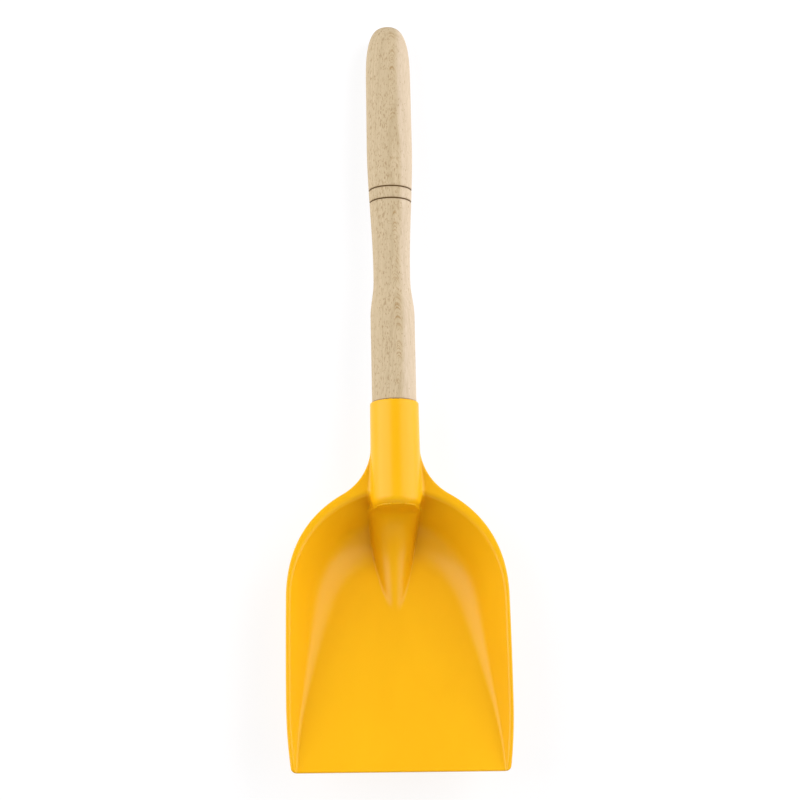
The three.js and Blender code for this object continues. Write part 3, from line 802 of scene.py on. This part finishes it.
def beech_material():
    """Steamed beech: fine close grain, ray flecks, a column of arched figure, burned grooves."""
    material = bpy.data.materials.new("handle_beech")
    n = Nodes(material)
    x, y, z = n.axes()
    # Growth rings lie about a pith well below and to the left, and lean a little to the axis.
    waver = n.noise(n.stretched((0.6, 0.16, 0.6)), 0.12, detail=3, roughness=0.6)
    pith_x = n.math("ADD", x, -PITH[0])
    pith_z = n.math("ADD", n.math("ADD", z, -PITH[1]), n.math("MULTIPLY", y, -RINGS_LEAN))
    squared = n.math("ADD", n.math("MULTIPLY", pith_x, pith_x), n.math("MULTIPLY", pith_z, pith_z))
    ring = n.math("ADD", n.math("SQRT", squared), n.math("MULTIPLY", waver, 5))
    layers = n.ramp(n.noise_along(ring, 0.9, detail=3, roughness=0.65), [(0.32, 0), (0.68, 1)])
    # Two tones side by side, greyer to the left of the figure, pinker to its right.
    edge = n.math("ADD", x, n.math("MULTIPLY", waver, 6))
    side = n.ramp(n.math("DIVIDE", edge, 20), [(0.36, 0), (0.52, 1)])
    grey = n.blend(layers, *BEECH_GREY)
    pink = n.blend(layers, *BEECH_PINK)
    base = n.blend(side, grey, pink)
    # Fibres, and finer pores between them.
    fibre = n.noise(n.stretched((1, 0.05, 1)), 2.4, detail=4, roughness=0.65)
    base = n.blend(n.ramp(fibre, [(0.35, 0.30), (0.62, 0)]), base, FIBRE)
    pores = n.noise(n.stretched((1, 0.12, 1)), 2.6, detail=3, roughness=0.7)
    base = n.blend(n.ramp(pores, [(0.58, 0), (0.72, 0.34)]), base, PORE)
    # Ray flecks: short, dark, spindle-shaped, denser to the left and in some bands.
    fleck = n.noise(n.stretched((1, 0.30, 1)), 1.25, detail=2, roughness=0.5, distortion=0.4)
    bands = n.noise(n.stretched((1, 0.10, 1), (7, 3, 1)), 0.09, detail=2)
    crowd = n.math("ADD", n.math("MULTIPLY", bands, 0.22), n.math("MULTIPLY", side, -0.07))
    fleck = n.ramp(n.math("ADD", fleck, crowd), [(0.685, 0), (0.775, 1)])
    base = n.blend(n.math("MULTIPLY", fleck, 0.62), base, FLECK)
    # Arched figure where the rings come out at the surface, in a wandering column of broken arches.
    off = n.math("ADD", edge, -FIGURE_X)
    arch = n.math("ADD", y, n.math("MULTIPLY", n.math("MULTIPLY", off, off), ARCH_BEND))
    arch = n.ramp(n.noise_along(arch, 0.42, detail=2, roughness=0.6), [(0.52, 0), (0.58, 1)])
    column = n.ramp(n.math("DIVIDE", n.math("ABSOLUTE", off), COLUMN_WIDTH), [(0.25, 1), (0.75, 0)])
    broken = n.ramp(n.noise(n.stretched((0.4, 0.16, 0.4), (3, 0, 5)), 0.35), [(0.42, 0), (0.56, 1)])
    figure = n.math("MULTIPLY", n.math("MULTIPLY", arch, column), broken)
    base = n.blend(n.math("MULTIPLY", figure, 0.62), base, FIGURE)
    # Burned grooves, darkest at the bottom, with a scorched margin.
    from_groove = None
    for groove in GROOVES:
        gap = n.math("ABSOLUTE", n.math("SUBTRACT", y, SOCKET_MOUTH_Y + groove))
        from_groove = gap if from_groove is None else n.math("MINIMUM", from_groove, gap)
    uneven = n.math("MULTIPLY", n.noise(n.mm, 1.6, detail=3), 0.35)
    char = n.ramp(n.math("ADD", from_groove, uneven), [(0.40, 0.92), (0.78, 0)])
    scorch = n.ramp(n.math("DIVIDE", from_groove, 3), [(0.1, 0.22), (0.6, 0)])
    base = n.blend(scorch, base, SCORCHED)
    base = n.blend(char, base, CHARRED)
    # A thin line of painted shade where the wood goes into the socket, standing for the shadow in the
    # gap between them.
    from_mouth = n.math("SUBTRACT", y, SOCKET_MOUTH_Y)
    base = n.blend(n.ramp(from_mouth, [(0.35, 0.75), (0.95, 0)]), base, PAINTED_GAP_SHADE)
    n.link(base, n.shader.inputs["Base Color"])
    n.link(n.ramp(fibre, [(0.3, 0.66), (0.7, 0.56)]), n.shader.inputs["Roughness"])
    n.shader.inputs["IOR"].default_value = 1.45
    n.shader.inputs["Specular IOR Level"].default_value = 0.15
    height = n.math("ADD", n.math("MULTIPLY", fibre, 0.05), n.math("MULTIPLY", pores, 0.04))
    n.link(n.bump(height, MM, 0.6), n.shader.inputs["Normal"])
    return material


def steel_material():
    """Bright zinc plate: pale grey with a faint crystal mottle and a slightly uneven surface."""
    material = bpy.data.materials.new("screw_steel")
    n = Nodes(material)
    mottle = n.noise(n.mm, 1.3, detail=3)
    base = n.blend(n.ramp(mottle, [(0.35, 0), (0.65, 1)]), *ZINC)
    n.link(base, n.shader.inputs["Base Color"])
    n.shader.inputs["Metallic"].default_value = 1.0
    rough = n.ramp(n.noise(n.mm, 4, detail=4), [(0.3, 0.26), (0.7, 0.44)])
    n.link(rough, n.shader.inputs["Roughness"])
    n.link(n.bump(n.noise(n.mm, 3, detail=3), 0.02 * MM, 0.5), n.shader.inputs["Normal"])
    return material


make_scoop(plastic_material())
make_handle(beech_material())
screw = frame["nodes"]["retaining_screw"]
steel = steel_material()
for place in screw.material_slots:
    place.material = steel

# ---- Floor and light -----------------------------------------------------------------------------

FLOOR_HALF = 4
FLOOR_TONES = ((0.20, 0.20, 0.21), (0.22, 0.22, 0.23))
FLOOR_GLOW = 0.79  # with the light that falls on it, this brings the paper to white
AIM = row_point(0, 170, -10)
KEY_COLOUR = (1, 0.99, 0.97)
SKY_Z = (0.2, 0.75)  # the sky fades between these heights, from the first strength to the second
SKY_STRENGTH = (0.86, 0.16)


def make_floor():
    mesh = bpy.data.meshes.new("floor")
    signs = [(-1, -1), (1, -1), (1, 1), (-1, 1)]
    corners = [(FLOOR_HALF * x, FLOOR_HALF * y, 0) for x, y in signs]
    mesh.from_pydata(corners, [], [(0, 1, 2, 3)])
    floor = bpy.data.objects.new("floor", mesh)
    bpy.context.scene.collection.objects.link(floor)
    material = bpy.data.materials.new("floor_paper")
    n = Nodes(material)
    tone = n.noise(n.mm, 0.01, detail=2)
    n.link(n.blend(tone, *FLOOR_TONES), n.shader.inputs["Base Color"])
    n.shader.inputs["Roughness"].default_value = 0.9
    n.shader.inputs["Specular IOR Level"].default_value = 0.1
    n.shader.inputs["Emission Color"].default_value = (1, 1, 1, 1)
    n.shader.inputs["Emission Strength"].default_value = FLOOR_GLOW
    mesh.materials.append(material)


def make_light(name, direction, distance, size, radiance, colour=(1, 1, 1)):
    """A soft box of that size and distance (metres), with its brightness per area."""
    data = bpy.data.lights.new(name, "AREA")
    data.shape = "RECTANGLE"
    data.size, data.size_y = size
    data.energy = radiance * math.pi * size[0] * size[1]
    data.color = colour
    light = bpy.data.objects.new(name, data)
    bpy.context.scene.collection.objects.link(light)
    back = row_direction(*direction)
    right = Vector((0, 1, 0)).cross(back).normalized()
    axes = Matrix((right, back.cross(right), back)).transposed().to_4x4()
    light.matrix_world = Matrix.Translation(AIM + back * distance) @ axes
    return light


def make_sky():
    """A white sky, bright at the horizon and dim overhead."""
    world = bpy.data.worlds.new("studio")
    world.use_nodes = True
    nodes, links = world.node_tree.nodes, world.node_tree.links
    direction = nodes.new("ShaderNodeSeparateXYZ")
    links.new(nodes.new("ShaderNodeTexCoord").outputs["Generated"], direction.inputs[0])
    fade = nodes.new("ShaderNodeMapRange")
    fade.inputs["From Min"].default_value, fade.inputs["From Max"].default_value = SKY_Z
    fade.inputs["To Min"].default_value, fade.inputs["To Max"].default_value = SKY_STRENGTH
    links.new(direction.outputs["Z"], fade.inputs["Value"])
    background = nodes["Background"]
    links.new(fade.outputs["Result"], background.inputs["Strength"])
    background.inputs["Color"].default_value = (1, 1, 1, 1)
    bpy.context.scene.world = world


make_floor()
key = make_light("key", (0.42, 0.50, 0.755), 1.8, (0.62, 0.62), 6.0, KEY_COLOUR)
key.visible_glossy = False  # its reflection would be a hot spot; the two boxes give the gloss
make_light("box_left", (-0.837, 0.16, 0.523), 1.3, (1.7, 1.2), 2.85)
make_light("box_right", (0.844, 0.08, 0.53), 1.3, (1.7, 1.45), 2.2)
make_sky()
bpy.context.scene.view_settings.view_transform = "Standard"
